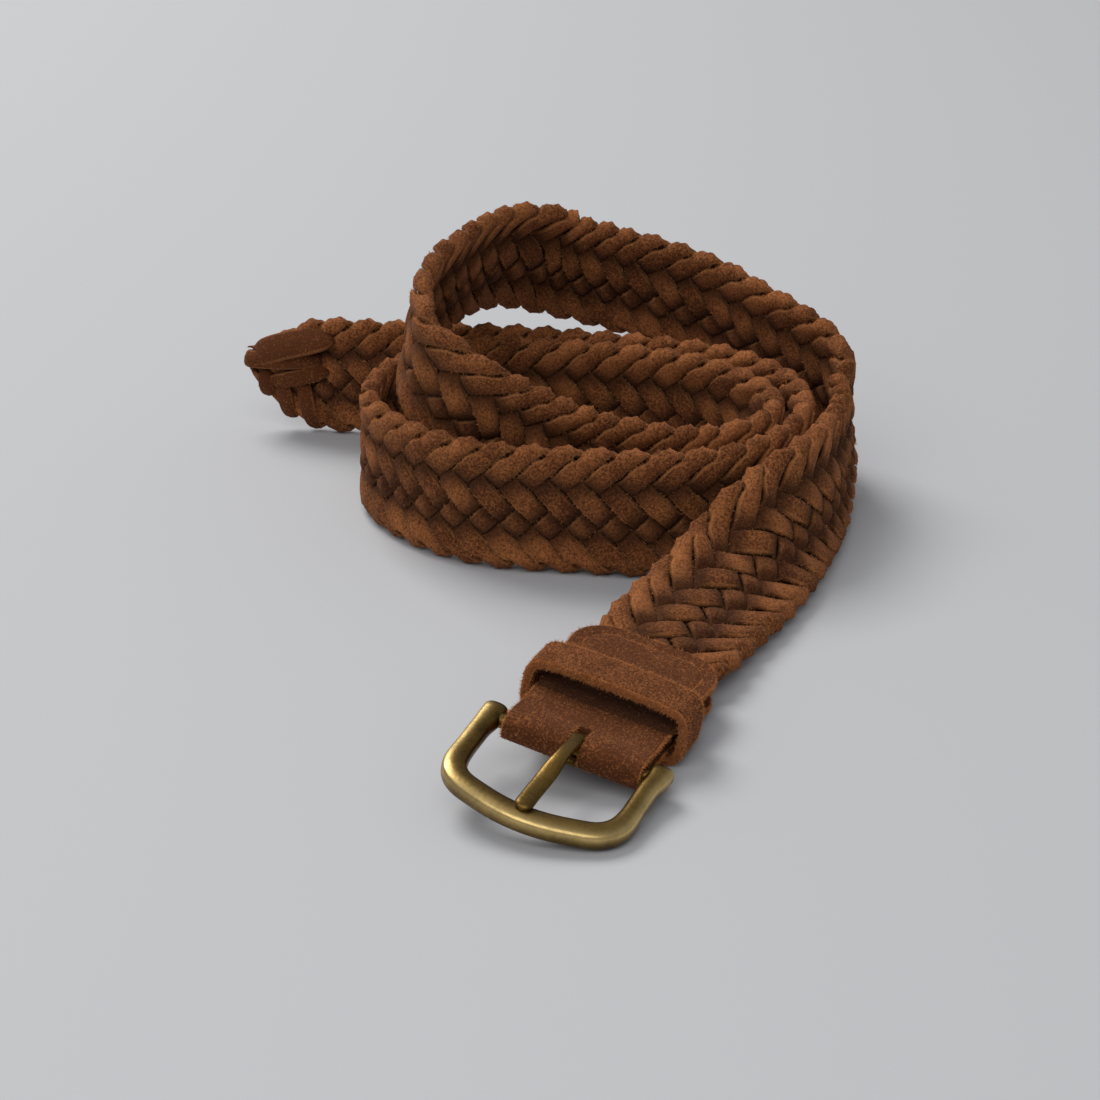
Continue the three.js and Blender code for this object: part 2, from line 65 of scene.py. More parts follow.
route = [
    (-0.3, -8.5, 0, STRAP_LEAN, 0, 1), (0.3, 17.5, 0, STRAP_LEAN, 1, 1), (1.5, 41, 0, 73, 6, 0.3),
    (3.5, 61.5, 0, 61, 9, 0), (3.5, 81, 0, 34, 7, 0), (2, 98, 0, 17, 5, 0), (0.5, 112.5, 0, 10, 4, 0),
    (-2, 128, 0, 6, 3, 0), (-5.5, 144, 0.05, 4, 1, 0), (-9.5, 159, 0.15, 9, 0, 0),
    (-17, 167.5, 0.25, 10, 0, 0), (-28, 173, 0.33, 9, 0, 0), (-40.5, 177.5, 0.42, 9, 0, 0),
    (-57, 183, 0.53, 10, 0, 0), (-78, 185, 0.63, 10, 0, 0), (-98.5, 183.5, 0.72, 12, 0, 0),
    (-114.5, 176.5, 0.83, 16, 0, 0), (-123, 164.5, 0.95, 20, 0, 0), (-127, 149, 1, 20, 0, 0),
    (-127, 126, 1, 17, 0, 0), (-125.5, 109, 0.98, 14, 0, 0), (-121.5, 95.5, 0.91, 10, 0, 0),
    (-115, 86, 0.8, 4, 0, 0), (-105.5, 81.5, 0.64, 0, 0, 0), (-96, 81.5, 0.47, -4, 0, 0),
    (-85, 84, 0.31, -5, 0, 0), (-71, 88, 0.16, -4, 0, 0), (-54.5, 92.5, 0.06, -2, 0, 0),
    (-37.5, 98, 0, 0, 0, 0), (-26, 107.5, 0, 0, 0, 0), (-22, 119.5, 0, 0, 0, 0),
    (-25, 132.5, 0, 0, 0, 0), (-35, 142.5, 0, 0, 0, 0), (-48, 149, 0, 0, 0, 0),
    (-67.5, 151, 0, 0, 0, 0), (-93, 147.5, 0, 0, 0, 0), (-117, 140.5, 0, 0, 0, 0),
    (-132.5, 125, 0, 2, 0, 0), (-136, 105.5, 0, 3, 0, 0), (-129, 88, 0, 1, 0, 0),
    (-116.5, 77, 0, 0, 0, 0), (-100.5, 69.5, 0, 0, 0, 0), (-83.5, 67.5, 0, 0, 0, 0),
    (-62.5, 72, 0, 0, 0, 0), (-38.5, 79, 0, 0, 0, 0), (-22.5, 90.5, 0, 0, 0, 0),
    (-15, 108, 0, 0, 0, 0), (-14, 125, 0, 0, 0, 0), (-19.5, 141, 0, 0, 0, 0),
    (-31, 152.5, 0, 0, 0, 0), (-47.5, 160, 0, 0, 0, 0), (-66, 160.5, 0, 0, 0, 0),
    (-89.5, 157.5, 0, 0, 0, 0), (-112.5, 153, 0, 0, 0, 0), (-135, 146.5, 0, 0, 0, 0),
    (-160, 139.5, 0, 0, 0, 0), (-192, 134, 0, 0, 0, 0),
]
tilt = math.radians(90 - STRAP_LEAN)
end_height = ((KEEPER_HALF - KEEPER_CORNER) * math.sin(tilt)
              + (KEEPER_BOTTOM - KEEPER_CORNER) * math.cos(tilt) + KEEPER_CORNER)
held_height = end_height - BAND_WIDTH / 2 * math.sin(tilt)
knots = []
posture = []
for x, y, lift, lean, rake, held in route:
    lying = BAND_THICKNESS / 2 * abs(math.sin(math.radians(lean)))
    z = lift * (BAND_WIDTH + WALL_GAP) + lying + (held_height - lying) * held
    knots.append((x, y, z))
    posture.append((math.radians(lean), math.radians(rake)))
knots = np.array(knots, float)
knots = np.vstack([2 * knots[0] - knots[1], knots, 2 * knots[-1] - knots[-2]])
posture = np.array(posture)

# The route between its places is a smooth spline, whose steps suit places that are far apart as
# well as near. The strap's own directions follow it: ahead, across its width and out of its face.
SPLINE_STEPS = 60
line = []
stance = []
for i in range(len(route) - 1):
    p0, p1, p2, p3 = knots[i:i + 4]
    d0 = np.linalg.norm(p1 - p0) ** 0.5
    d1 = np.linalg.norm(p2 - p1) ** 0.5
    d2 = np.linalg.norm(p3 - p2) ** 0.5
    m1 = ((p1 - p0) / d0 - (p2 - p0) / (d0 + d1) + (p2 - p1) / d1) * d1
    m2 = ((p2 - p1) / d1 - (p3 - p1) / (d1 + d2) + (p3 - p2) / d2) * d1
    for t in np.linspace(0, 1, SPLINE_STEPS, endpoint=i == len(route) - 2):
        line.append(p1 + m1 * t + (-3 * p1 + 3 * p2 - 2 * m1 - m2) * t * t
                    + (2 * p1 - 2 * p2 + m1 + m2) * t ** 3)
        share = t * t * (3 - 2 * t)
        stance.append(posture[i] * (1 - share) + posture[i + 1] * share)
line = np.array(line)
stance = np.array(stance)
run = np.concatenate([[0], np.cumsum(np.linalg.norm(np.diff(line, axis=0), axis=1))])
LENGTH = run[-1]
ahead = np.gradient(line, axis=0)
ahead /= np.linalg.norm(ahead, axis=1)[:, None]
left = np.stack([-ahead[:, 1], ahead[:, 0], np.zeros(len(ahead))], 1)
left /= np.linalg.norm(left, axis=1)[:, None]
upright = np.cross(ahead, left)
cos_lean, sin_lean = np.cos(stance[:, :1]), np.sin(stance[:, :1])
square = upright * cos_lean + left * sin_lean
outward = np.cross(ahead, square)
across = square * np.cos(stance[:, 1:2]) + ahead * np.sin(stance[:, 1:2])


def on_band(s, w, n):
    """Points at s along the strap, w up from its resting edge and n out of its face."""
    s = np.asarray(s, float)
    parts = []
    for field in (line, across, outward):
        parts.append(np.stack([np.interp(s, run, field[:, k]) for k in range(3)], -1))
    w = np.asarray(w, float)[..., None]
    n = np.asarray(n, float)[..., None]
    return parts[0] + parts[1] * w + parts[2] * n


# The frame's braid has the same route and is a little thinner along its edges than in its middle,
# as the profile's rows say: height up its width, and half its thickness there. Its far sides give
# the shift that lays this route over it.
profile = [(0, 2), (11.7, 3), (25.8, 3), (BAND_WIDTH, 2)]
probe_s = np.linspace(0, LENGTH, 1200)
probe = []
for w, half_depth in profile:
    for n in (-half_depth, half_depth):
        probe.append(on_band(probe_s, w, n))
probe = np.concatenate(probe)
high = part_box("braid")[1]
shift = np.zeros(3)
shift[0] = high[0] / MM - probe[:, 0].max()
shift[1] = high[1] / MM - probe[:, 1].max()

# Brown suede, of the laces, tab and keeper: split leather with its nap up, dyed unevenly. Its raw
# cut edges are paler and more orange, partly their own colour and partly a painted highlight
# ("rim"). Pieces differ a little ("shade"), and the whole tab is darker with painted shade. Where a
# lace goes under another, inside the keeper and just behind it, painted shade makes it nearly
# black ("crease").


def noise(tree, scale, detail, roughness=0.5):
    """Noise on the piece's own coordinates."""
    place = tree.nodes.new("ShaderNodeTexCoord")
    spots = tree.nodes.new("ShaderNodeTexNoise")
    spots.inputs["Scale"].default_value = scale
    spots.inputs["Detail"].default_value = detail
    spots.inputs["Roughness"].default_value = roughness
    tree.links.new(place.outputs["Object"], spots.inputs["Vector"])
    return spots.outputs["Fac"]


def stored(tree, name):
    """A value that the mesh holds for each point."""
    layer = tree.nodes.new("ShaderNodeAttribute")
    layer.attribute_name = name
    return layer.outputs["Fac"]


def scaled(tree, value, factor, offset=0.0):
    """A value times a factor, plus an offset: numbers or other nodes' results."""
    sum_node = tree.nodes.new("ShaderNodeMath")
    sum_node.operation = "MULTIPLY_ADD"
    for socket, given in zip(sum_node.inputs, (value, factor, offset)):
        if isinstance(given, (int, float)):
            socket.default_value = given
        else:
            tree.links.new(given, socket)
    return sum_node.outputs[0]


def ranged(tree, value, low, high, to_low=0.0, to_high=1.0):
    """A value that runs from low to high, spread between two others."""
    spread = tree.nodes.new("ShaderNodeMapRange")
    spread.inputs["From Min"].default_value = low
    spread.inputs["From Max"].default_value = high
    spread.inputs["To Min"].default_value = to_low
    spread.inputs["To Max"].default_value = to_high
    tree.links.new(value, spread.inputs["Value"])
    return spread.outputs["Result"]


def dyed(tree, value, dark_at, dark, light_at, light):
    """A colour between dark and light."""
    ramp = tree.nodes.new("ShaderNodeValToRGB")
    for stop, position, colour in zip(ramp.color_ramp.elements, (dark_at, light_at), (dark, light)):
        stop.position = position
        stop.color = colour
    tree.links.new(value, ramp.inputs["Fac"])
    return ramp.outputs["Color"]


def tinted(tree, under, colour, amount):
    """A colour turned towards another by an amount from 0 to 1."""
    mix = tree.nodes.new("ShaderNodeMix")
    mix.data_type = "RGBA"
    mix.inputs["B"].default_value = colour
    tree.links.new(under, mix.inputs["A"])
    tree.links.new(amount, mix.inputs["Factor"])
    return mix.outputs["Result"]


def raised(tree, height, strength, depth):
    """The normal of a surface with fine relief, its depth in metres."""
    relief = tree.nodes.new("ShaderNodeBump")
    relief.inputs["Strength"].default_value = strength
    relief.inputs["Distance"].default_value = depth
    tree.links.new(height, relief.inputs["Height"])
    return relief.outputs["Normal"]


suede = bpy.data.materials.new("suede")
suede.use_nodes = True
tree = suede.node_tree
shader = tree.nodes["Principled BSDF"]
shader.inputs["Roughness"].default_value = 0.93
shader.inputs["Specular IOR Level"].default_value = 0.18
shader.inputs["Sheen Weight"].default_value = 0.12
shader.inputs["Sheen Roughness"].default_value = 0.45
shader.inputs["Sheen Tint"].default_value = (0.8, 0.38, 0.2, 1)
nap = noise(tree, 1500, 5, 0.7)
cloud = noise(tree, 170, 4)
# each piece's stored tone; the tab's low tone is painted shade
piece_tone_and_painted_shade = scaled(tree, stored(tree, "shade"), 0.16, -0.36)
dye_depth_and_painted_shade = scaled(tree, nap, 1.25, scaled(tree, cloud, 0.3, piece_tone_and_painted_shade))
leather = dyed(tree, dye_depth_and_painted_shade, 0.34, (0.095, 0.027, 0.007, 1), 0.7, (0.43, 0.152, 0.048, 1))
# the paler raw cut edges: partly the leather's own colour, partly a painted highlight
ragged_rim = ranged(tree, scaled(tree, nap, 0.5, stored(tree, "rim")), 0.5, 1.35)
leather = tinted(tree, leather, (0.52, 0.215, 0.075, 1), ragged_rim)
# painted shade: the leather turns nearly black in crevices, under other laces and inside the keeper
leather = tinted(tree, leather, (0.02, 0.005, 0.0015, 1), scaled(tree, stored(tree, "crease"), 0.8))
tree.links.new(leather, shader.inputs["Base Color"])
tree.links.new(raised(tree, nap, 0.9, 0.0005), shader.inputs["Normal"])

# The braid: eight flat suede laces plaited into one strap, a single layer. Each lace crosses from
# edge to edge, over and under the others, then folds round the edge and crosses back.
rng = np.random.default_rng(7)
LACES = 8
LACE_PITCH = 9
LACE_WIDTH = 6.1
LACE_THICKNESS = 1.8
FOLD_RADIUS = 1.3
FLAT = BAND_WIDTH - 2 * FOLD_RADIUS - LACE_THICKNESS
HALF = FLAT + math.pi * FOLD_RADIUS
HALF_RUN = 4 * LACE_PITCH
CLIMB = math.atan2(HALF, HALF_RUN)
QUARTER_FOLD = math.pi * FOLD_RADIUS / 2
# a half turn meets eight crossings, and dives under or comes over between them at these places
CROSSINGS = 8
DIVES_UP = (2.5, 3.5, 5.5)
DIVES_DOWN = (2.5, 4.5, 5.5)
DIVE_REACH = 0.25
# steps along a lace, fine round the folds
FOLD_STEP = 0.62
FLAT_STEP = 1.5
FOLD_ZONE = 4.6
# how a lace is puffed up, rolled onto its neighbour and rounded off between two dives
PUFF = 0.75
ROLL_AT_EDGE = 0.17
ROLL = 0.08
SIDE_DROP = 0.8
FOLD_FALL = 1.9
# the laces narrow to the tail's tip, and are pressed between the tab's layers
TAIL_TAPER = 27
TIP_WIDTH = 6.5
TIP_RISE = 0.1
TAB_COVER = TAB_REACH - TONGUE_START + SEAT_CLEARANCE
TAB_SQUEEZE = 0.17
TAB_PRESS = 0.42
WEAVE_START = 1.0
WEAVE_END = LENGTH - 1.6
FLOOR_GAP = 0.03
section = [(-0.5, 0.22), (-0.46, 0.4), (-0.36, 0.47), (0, 0.5), (0.36, 0.47), (0.46, 0.4), (0.5, 0.22)]
section = section + [(v, -t) for v, t in reversed(section)]


def smooth(value):
    """0 below 0, 1 above 1, and an even bend between."""
    value = np.clip(value, 0, 1)
    return value * value * (3 - 2 * value)


def width_towards_tip(s, tip_width):
    """The strap's width at s, as a share of its full width."""
    tail = np.clip((LENGTH - s) / TAIL_TAPER, 0, 1)
    return (tip_width + (BAND_WIDTH - tip_width) * np.sin(math.pi / 2 * tail)) / BAND_WIDTH


def tube_faces(base, rings, sides):
    """Faces of a closed tube, whose rings of points follow each other from number base on."""
    faces = []
    for i in range(rings - 1):
        for j in range(sides):
            k = (j + 1) % sides
            a = base + i * sides
            faces.append((a + j, a + sides + j, a + sides + k, a + k))
    end = base + (rings - 1) * sides
    faces.append(tuple(range(base, base + sides)))
    faces.append(tuple(range(end + sides - 1, end - 1, -1)))
    return faces


lace_points = []
lace_faces = []
lace_rim = []
lace_shade = []
lace_crease = []
point_count = 0
for lace in range(LACES):
    phase = lace * LACE_PITCH
    q = [0.0]
    while q[-1] < (WEAVE_END - WEAVE_START) / math.cos(CLIMB):
        turns = (q[-1] * math.cos(CLIMB) + phase) / HALF_RUN
        to_fold = abs(turns - round(turns)) * HALF
        q.append(q[-1] + (FOLD_STEP if to_fold < FOLD_ZONE else FLAT_STEP))
    q = np.array(q)
    s_mid = WEAVE_START + q * math.cos(CLIMB)
    climb_mid = (s_mid - WEAVE_START + phase) / HALF_RUN * HALF
    half_turn = np.floor(climb_mid / HALF)
    going_up = half_turn % 2 == 0
    part = climb_mid / HALF - half_turn
    leaf_key = rng.random((int(half_turn.max()) + 2, 5))

    # over or under the others, the bulge of each stretch between two dives, and the way to a dive
    crossing = part * CROSSINGS
    over = np.zeros(len(q))
    bulge = np.zeros(len(q))
    stretch = np.zeros(len(q), int)
    dive = np.full(len(q), 9.0)
    for dives, here in ((DIVES_UP, going_up), (DIVES_DOWN, ~going_up)):
        on_top = [smooth((crossing - cut + DIVE_REACH) / (2 * DIVE_REACH)) for cut in dives]
        over = np.where(here, (on_top[0] - on_top[1] + on_top[2]) * 2 - 1, over)
        ends = (-0.5,) + dives + (CROSSINGS + 0.5,)
        for k in range(len(ends) - 1):
            inside = here & (crossing >= ends[k]) & (crossing < ends[k + 1])
            bulge[inside] = np.sin(np.pi * (crossing[inside] - ends[k]) / (ends[k + 1] - ends[k]))
            stretch[inside] = k
        for cut in dives:
            dive = np.where(here, np.minimum(dive, np.abs(crossing - cut)), dive)
    run_random = leaf_key[half_turn.astype(int), stretch]
    by_fold = smooth(1 - np.minimum(part, 1 - part) * CROSSINGS / 2.4)
    narrowing = 0.9 + 0.15 * by_fold + 0.05 * np.abs(bulge) + 0.08 * (run_random - 0.5)
    roll = ROLL + ROLL_AT_EDGE * smooth((np.abs(part - 0.5) * CROSSINGS - 1.2) / 0.8)

    rows = []
    creases = []
    for v_share, t_share in section:
        v = v_share * LACE_WIDTH * narrowing
        s_here = s_mid - v * math.sin(CLIMB)
        climb = climb_mid + v * math.cos(CLIMB)
        turn = np.floor(climb / HALF)
        local = climb - turn * HALF
        same_turn = turn == half_turn
        # a half turn starts and ends in the middle of a fold round the strap's edge
        angle_in = np.clip((QUARTER_FOLD - local) / FOLD_RADIUS, 0, math.pi / 2)
        angle_out = np.clip((local - (HALF - QUARTER_FOLD)) / FOLD_RADIUS, 0, math.pi / 2)
        flat_part = np.clip(local - QUARTER_FOLD, 0, FLAT)
        rise = FOLD_RADIUS + flat_part + FOLD_RADIUS * (np.sin(angle_out) - np.sin(angle_in))
        in_fold = angle_in > 0
        out_fold = angle_out > 0
        level = np.where(same_turn, over, np.where(turn > half_turn, -1.0, 1.0))
        lift = FOLD_RADIUS * level + PUFF * np.abs(bulge) * np.sign(over) * same_turn
        lift = np.where(in_fold, -FOLD_RADIUS * np.cos(angle_in), lift)
        lift = np.where(out_fold, FOLD_RADIUS * np.cos(angle_out), lift)
        # the lace's own normal, turned round in a fold
        angle = np.where(in_fold, angle_in, angle_out)
        normal_w = np.where(in_fold, np.sin(angle), np.where(out_fold, np.sin(angle), 0))
        normal_n = np.where(in_fold | out_fold, np.cos(angle), 1.0)
        from_edge = np.minimum(local, HALF - local)
        calm = smooth(from_edge / 6 - 0.3)
        lift = lift + v * roll * calm * (0.6 + 0.8 * run_random)
        lift = lift - SIDE_DROP * np.sign(over) * np.abs(2 * v_share) ** 3.5 * np.abs(bulge) * calm
        # the face that is outside at one edge is inside at the next
        face_up = np.where(turn % 2 == 0, t_share, -t_share)
        rise = rise + normal_w * face_up * LACE_THICKNESS
        lift = lift + normal_n * face_up * LACE_THICKNESS
        half_lace = LACE_THICKNESS / 2
        w = np.where(turn % 2 == 0, half_lace + rise, BAND_WIDTH - half_lace - rise)
        # the fold's middle stands proud of the edge, its sides fall back
        fold_at = (turn + (local > HALF / 2)) * HALF_RUN - phase + WEAVE_START
        away = (s_here - fold_at) / (LACE_PITCH / 2)
        fall = FOLD_FALL * np.clip(away * away, 0, 1.4) * smooth(1 - from_edge / 5)
        w = w + np.where(w > BAND_WIDTH / 2, -fall, fall)
        tail = np.clip((LENGTH - s_here) / TAIL_TAPER, 0, 1)
        inside_tab = 1 - smooth((s_here - TAB_COVER) / 5)
        width_share = width_towards_tip(s_here, TIP_WIDTH) * (1 - TAB_SQUEEZE * inside_tab)
        w = BAND_WIDTH * (0.5 + TIP_RISE * (1 - tail) ** 6) + (w - BAND_WIDTH / 2) * width_share
        lift = lift * (1 - TAB_PRESS * inside_tab) * (0.55 + 0.45 * tail)
        rows.append(on_band(s_here, w, lift))
        # painted shade: darker where the lace dives under another, along its lower rolled edge, and a
        # little along both edges
        low_side = np.clip(-2 * v_share * np.sign(face_up), 0, 1) ** 4 * 0.65
        both_sides = abs(2 * v_share) ** 10 * 0.25
        creases.append(np.clip(np.exp(-(dive / 0.55) ** 2) + low_side + both_sides, 0, 1))
    ring = np.stack(rows, 1)
    ring[:, :, 2] = np.maximum(ring[:, :, 2], FLOOR_GAP)
    lace_points.append(ring.reshape(-1, 3))
    # both edges of each lace are paler: raw edge colour and a painted highlight
    lace_rim.append(np.tile([0.75 * (abs(v) > 0.45) for v, t in section], len(q)))
    lace_shade.append(np.repeat(run_random, len(section)))
    lace_crease.append(np.stack(creases, 1).reshape(-1))
    lace_faces += tube_faces(point_count, len(q), len(section))
    point_count += len(q) * len(section)

# At the tail the lace ends are turned back and tucked, so a few wide laces run over the weave into
# the tip, on the side that faces the coil's front. Each is its width and a few given points:
# distance back from the tip, share of the strap's width, and depth.
CORE_SETBACK = 3
tucks = [
    (4.6, [(6, 0.52, -2.0), (6, 0.44, -3.0), (6.2, 0.36, -2.6), (6.6, 0.29, -0.8), (7, 0.33, 1.2)]),
    (4.8, [(11.5, 0.44, -2.2), (12, 0.34, -3.4), (12.6, 0.22, -2.9), (13.4, 0.11, -0.8),
           (14, 0.16, 1.4)]),
    (5.2, [(18, 0.44, -2.2), (18.8, 0.30, -3.5), (20, 0.15, -3.1), (21, 0.03, -0.8),
           (21.6, 0.09, 1.6)]),
    (8.6, [(27, 0.86, -2.0), (25, 0.85, -3.9), (18, 0.80, -4.2), (11, 0.74, -3.7), (5, 0.67, -2.8),
           (2, 0.63, -1.2)]),
    (5.0, [(26, 0.56, -2.2), (23, 0.54, -3.8), (17, 0.49, -4.1), (11, 0.44, -3.8),
           (7.5, 0.42, -2.0)]),
    (5.2, [(24, 0.65, -2.4), (19, 0.64, -4.0), (11, 0.62, -4.1), (4, 0.61, -3.4),
           (0.8, 0.60, -2.4), (-0.8, 0.60, 0.2), (2, 0.60, 2.4)]),
]


def evened(spine, rounds):
    """A chain of points with its bends eased, its two ends kept."""
    for _ in range(rounds):
        spine[1:-1] = (spine[:-2] + 2 * spine[1:-1] + spine[2:]) / 4
    return spine


for width, stops in tucks:
    stops = np.array(stops)
    fine = np.linspace(0, len(stops) - 1, 31)
    spine = np.stack([np.interp(fine, range(len(stops)), stops[:, k]) for k in range(3)], 1)
    spine = evened(spine, 8)
    center = on_band(LENGTH - spine[:, 0], spine[:, 1] * BAND_WIDTH, spine[:, 2])
    forward = np.gradient(center, axis=0)
    forward /= np.linalg.norm(forward, axis=1)[:, None]
    core_w = (0.5 + (spine[:, 1] - 0.5) * 0.75) * BAND_WIDTH
    core = on_band(LENGTH - np.maximum(spine[:, 0], CORE_SETBACK), core_w, 0 * spine[:, 2])
    sideways = np.cross(forward, center - core)
    sideways /= np.linalg.norm(sideways, axis=1)[:, None]
    up = np.cross(sideways, forward)
    from_middle = np.abs(np.linspace(-1, 1, len(spine)))
    pinch = 1 - 0.45 * from_middle ** 4
    rows = []
    for v_share, t_share in section:
        rows.append(center + sideways * (v_share * width * pinch)[:, None]
                    + up * (t_share * LACE_THICKNESS - 0.5 * (2 * v_share) ** 2))
    lace_points.append(np.stack(rows, 1).reshape(-1, 3))
    lace_rim.append(np.tile([0.45 * (abs(v) > 0.45) for v, t in section], len(spine)))
    lace_shade.append(np.full(len(spine) * len(section), rng.random() * 0.5 - 0.9))
    # each tucked lace is darker towards its two ends, where it goes under: painted shade
    lace_crease.append(np.repeat(from_middle ** 6 * 0.6, len(section)))
    lace_faces += tube_faces(point_count, len(spine), len(section))
    point_count += len(spine) * len(section)


def mesh_object(name, points, faces, material, smooth_faces=True, **attributes):
    """A mesh of points in millimetres, with a value for each point under each given name."""
    mesh = bpy.data.meshes.new(name)
    mesh.from_pydata((np.asarray(points) * MM).tolist(), [], faces)
    for key, values in attributes.items():
        layer = mesh.attributes.new(key, "FLOAT", "POINT")
        layer.data.foreach_set("value", np.asarray(values, np.float32))
    mesh.materials.append(material)
    if smooth_faces:
        mesh.polygons.foreach_set("use_smooth", [True] * len(mesh.polygons))
    mesh.update()
    made = bpy.data.objects.new(name, mesh)
    bpy.context.scene.collection.objects.link(made)
    return made


def select_only(piece):
    bpy.ops.object.select_all(action="DESELECT")
    piece.select_set(True)
    bpy.context.view_layer.objects.active = piece


def face_outwards(piece):
    """Turn the faces of a swept piece outwards."""
    select_only(piece)
    bpy.ops.object.mode_set(mode="EDIT")
    bpy.ops.mesh.select_all(action="SELECT")
    bpy.ops.mesh.normals_make_consistent(inside=False)
    bpy.ops.object.mode_set(mode="OBJECT")


# The laces are two meshes of four, the tucked ends with the second
points = np.concatenate(lace_points) + shift
points[:, 2] = np.maximum(points[:, 2], FLOOR_GAP)
half_count = sum(len(p) for p in lace_points[:LACES // 2])
rims, shades, creases = (np.concatenate(part) for part in (lace_rim, lace_shade, lace_crease))
braids = []
for name, start, stop in (("braided_laces", 0, half_count),
                          ("braided_laces_2", half_count, len(points))):
    faces = [tuple(k - start for k in f) for f in lace_faces if start <= f[0] < stop]
    braid = mesh_object(name, points[start:stop], faces, suede, rim=rims[start:stop],
                        shade=shades[start:stop], crease=creases[start:stop])
    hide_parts("braid")
    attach(braid, "belt")
    face_outwards(braid)
    braids.append(braid)

# Deep in the gaps between the laces, the eye meets the laces' hidden crossings, which lie in shade:
# one strip along the braid's middle stands for them, painted nearly black as painted shade.
CORE_ROWS = 700
CORE_END = 6
CORE_TIP_WIDTH = 5
CORE_SHARES = np.array([0.1, 0.37, 0.63, 0.9])
columns = len(CORE_SHARES)
core_points = []
for row_s in np.linspace(WEAVE_START, LENGTH - CORE_END, CORE_ROWS):
    row_w = BAND_WIDTH * (0.5 + (CORE_SHARES - 0.5) * width_towards_tip(row_s, CORE_TIP_WIDTH))
    core_points.append(on_band(np.full(columns, row_s), row_w, np.zeros(columns)))
core_points = np.concatenate(core_points) + shift
core_faces = []
for i in range(CORE_ROWS - 1):
    for k in range(columns - 1):
        a = columns * i + k
        core_faces.append((a, a + columns, a + columns + 1, a + 1))
core = mesh_object("shaded_lace_crossings", core_points, core_faces, suede, rim=np.zeros(len(core_points)),
                   shade=np.zeros(len(core_points)), crease=np.ones(len(core_points)))
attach(core, "belt")

# Suede nap: short loose fibres, each one thin triangle, thick on the raw edges and thin on the
# faces. They break up the outline of the leather as its fur does.
FIBRE_HALF = 0.08
fur = bpy.data.materials.new("suede fur")
fur.use_nodes = True
shader = fur.node_tree.nodes["Principled BSDF"]
shader.inputs["Base Color"].default_value = (0.52, 0.21, 0.075, 1)
shader.inputs["Roughness"].default_value = 1.0
shader.inputs["Specular IOR Level"].default_value = 0.05


def read_points(mesh, what):
    """Each point's place ("co") or normal ("normal") as a row."""
    values = np.zeros(len(mesh.vertices) * 3)
    mesh.vertices.foreach_get(what, values)
    return values.reshape(-1, 3)


def read_layer(mesh, name):
    values = np.zeros(len(mesh.vertices))
    mesh.attributes[name].data.foreach_get("value", values)
    return values


def suede_nap(name, piece, face_count, rim_count, longest):
    """Fibres on a piece: shorter ones all over it, and longer ones along its raw edges."""
    mesh = piece.data
    mesh.calc_loop_triangles()
    spots = read_points(mesh, "co") / MM
    corners = np.zeros(len(mesh.loop_triangles) * 3, int)
    mesh.loop_triangles.foreach_get("vertices", corners)
    corners = corners.reshape(-1, 3)
    a, b, c = (spots[corners[:, k]] for k in range(3))
    normal = np.cross(b - a, c - a)
    area = np.linalg.norm(normal, axis=1)
    normal /= np.maximum(area, 1e-9)[:, None]
    rim_share = read_layer(mesh, "rim")[corners].mean(1)
    area = area * (1 - 0.97 * read_layer(mesh, "crease")[corners].mean(1))
    fibres = []
    for count, chance in ((face_count, area), (rim_count, area * smooth((rim_share - 0.45) * 3))):
        pick = rng.choice(len(area), size=count, p=chance / chance.sum())
        r1, r2 = rng.random(count), rng.random(count)
        flip = r1 + r2 > 1
        r1, r2 = np.where(flip, 1 - r1, r1), np.where(flip, 1 - r2, r2)
        root = a[pick] + (b - a)[pick] * r1[:, None] + (c - a)[pick] * r2[:, None]
        lean = normal[pick] * 0.75 + rng.normal(size=(count, 3)) * 0.5
        lean /= np.linalg.norm(lean, axis=1)[:, None]
        length = longest * (0.35 + 0.65 * rng.random(count))
        if count == face_count:
            length *= 0.55
        aside = np.cross(lean, rng.normal(size=(count, 3)))
        aside /= np.linalg.norm(aside, axis=1)[:, None]
        tip = root + lean * length[:, None]
        tip[:, 2] = np.maximum(tip[:, 2], 0.02)
        fibres.append(np.stack([root - aside * FIBRE_HALF, root + aside * FIBRE_HALF, tip], 1))
    fibres = np.concatenate(fibres)
    hair = mesh_object(name, fibres.reshape(-1, 3),
                       np.arange(len(fibres) * 3).reshape(-1, 3).tolist(), fur, smooth_faces=False)
    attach(hair, "belt")


suede_nap("lace_fur", braids[0], 25000, 60000, 1.0)
suede_nap("lace_fur_2", braids[1], 25000, 60000, 1.0)

# The tab: one strip of suede folded round the buckle's bar, with the plait's end sewn between its
# layers, a slot through the fold for the prong, and rounded far corners. It is laid out on the
# strap's end: across it (side), along it and up from its face. The frame's tab was, too.
edge_start = on_band(0.0, 0.0, 0.0)
side = -(across[0] / np.linalg.norm(across[0]))
along = ahead[0]
face = outward[0]
hub = edge_start + across[0] * (BAND_WIDTH / 2) - along * TONGUE_START + shift
KEEPER_START = 16.5
KEEPER_WIDTH = 10.5
END_HALF = 18.5
END_CORNER = 10
SLOT_MID = 0.2
SLOT_HALF = 2.2
SLOT_REACH = 5
COLUMN_GAP = 0.26
DIP = 1.0
GROOVE_INSET = 3.3
GROOVE_HALF = 0.5
GROOVE_DEPTH = 0.6
PRESSED_RIM = 0.45
CUSHION = 0.5
SHADE_HEIGHT = 2.2
corner_start = TAB_REACH - END_CORNER
middle = (FOLD_INNER + FOLD_OUTER) / 2
straight = np.linspace(TAB_REACH, 0, 92)
bend = np.linspace(math.pi / 2, 1.5 * math.pi, 20)[1:-1]
path = [(y, middle) for y in straight]
path += [(middle * math.cos(a), middle * math.sin(a)) for a in bend]
path += [(y, -middle) for y in straight[::-1]]
columns = np.linspace(-1, 1, 69) * TAB_HALF
columns = [c for c in columns if abs(abs(c - SLOT_MID) - SLOT_HALF) > COLUMN_GAP]
columns = sorted(columns + [SLOT_MID - SLOT_HALF, SLOT_MID + SLOT_HALF])
tab_points = []
